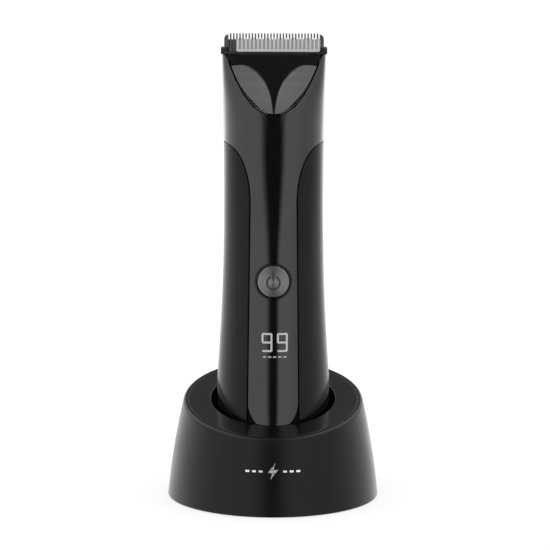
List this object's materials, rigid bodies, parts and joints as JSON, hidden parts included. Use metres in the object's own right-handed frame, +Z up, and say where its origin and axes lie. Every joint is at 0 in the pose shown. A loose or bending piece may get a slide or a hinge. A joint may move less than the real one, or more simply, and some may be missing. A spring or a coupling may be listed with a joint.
{
  "type": "body groomer",
  "caption": "Cordless body groomer with a ceramic and steel cutting head, gloss strip and matte grips, standing in a round charging dock with a slanted deck.",
  "frame": {"origin": "centre of the dock's underside, on the surface it stands on", "axes": "+Z up along the groomer, -Y towards the side with the display and button, +X to the right seen from the front"},
  "size_m": [0.0784, 0.0784, 0.1723],
  "materials": {
    "dock_satin": "fine satin texture",
    "deck_satin": "smooth satin",
    "socket_black": "satin",
    "base_plastic": "moulded",
    "steel": "plain steel",
    "spring_steel": "drawn wire",
    "board_green": "solder mask",
    "inlet_metal": "plated",
    "contact_gold": "gold plated",
    "foot_rubber": "matt rubber",
    "emblem_silver": "silver print",
    "piano_black": "high gloss",
    "rear_black": "semi gloss",
    "grip_matte": "soft touch",
    "cell_wrap": "shrink wrap",
    "display_black": "smooth",
    "display_light": "lit segments",
    "bezel_dark": "smooth dark ring",
    "button_metal": "spun, grey",
    "icon_black": "printed",
    "pale_plastic": "moulded",
    "frame_black": "fine satin",
    "blade_steel": "ground steel",
    "ceramic": "fired, matt"
  },
  "bodies": {
    "dock": {"dock_shell": "dock_satin", "dock_deck": "deck_satin", "socket_cup": "socket_black", "dock_base_plate": "base_plastic", "dock_weight": "steel", "dock_circuit_board": "board_green", "usb_inlet": "inlet_metal", "pin_spring_left": "spring_steel", "pin_spring_right": "spring_steel", "pin_housing": "socket_black", "dock_feet": "foot_rubber", "dock_screws": "steel", "dock_emblem": "emblem_silver"},
    "charge_pin_left": {"charge_pin_left": "contact_gold"},
    "charge_pin_right": {"charge_pin_right": "contact_gold"},
    "groomer": {"front_panel": "piano_black", "rear_shell": "rear_black", "left_grip": "grip_matte", "right_grip": "grip_matte", "bottom_cap": "rear_black", "charge_contacts": "contact_gold", "inner_frame": "base_plastic", "battery_cell": "cell_wrap", "battery_tabs": "steel", "main_circuit_board": "board_green", "display_module": "display_black", "display_digits": "display_light", "battery_level_bars": "display_light", "tactile_switch": "display_black", "button_bezel": "bezel_dark", "motor_can": "steel", "motor_end_cap": "pale_plastic", "motor_mount": "base_plastic", "neck_cap": "rear_black", "shaft_seal": "foot_rubber", "frame_screws": "steel"},
    "drive": {"motor_shaft": "steel", "eccentric_cam": "pale_plastic"},
    "power_button": {"power_button": "button_metal", "button_icon": "icon_black"},
    "head": {"head_front_cover": "piano_black", "head_rear_cover": "rear_black", "head_base": "base_plastic", "blade_frame": "frame_black", "fixed_blade": "blade_steel", "blade_screws": "steel", "blade_spring": "steel"},
    "cutter": {"moving_blade": "ceramic", "cutter_follower": "pale_plastic"}
  },
  "joints": [
    {"name": "lift_off", "type": "slide", "parent": "dock", "child": "groomer", "axis": [0, 0, 1], "range_m": [0, 0.06]},
    {"name": "head_release", "type": "slide", "parent": "groomer", "child": "head", "axis": [0, 0, 1], "range_m": [0, 0.02]},
    {"name": "blade_stroke", "type": "slide", "parent": "head", "child": "cutter", "axis": [1, 0, 0], "range_m": [-0.003, 0]},
    {"name": "motor_spin", "type": "hinge", "parent": "groomer", "child": "drive", "pos_m": [0, 0, 0.1405], "axis": [0, 0, 1], "continuous": true},
    {"name": "button_press", "type": "slide", "parent": "groomer", "child": "power_button", "axis": [0, 1, 0], "range_m": [0, 0.0006], "stiffness_N_per_m": 1500},
    {"name": "charge_pin_left_press", "type": "slide", "parent": "dock", "child": "charge_pin_left", "axis": [0, 0, -1], "range_m": [0, 0.0008], "stiffness_N_per_m": 400, "deforming": ["pin_spring_left"]},
    {"name": "charge_pin_right_press", "type": "slide", "parent": "dock", "child": "charge_pin_right", "axis": [0, 0, -1], "range_m": [0, 0.0008], "stiffness_N_per_m": 400, "deforming": ["pin_spring_right"]}
  ]
}
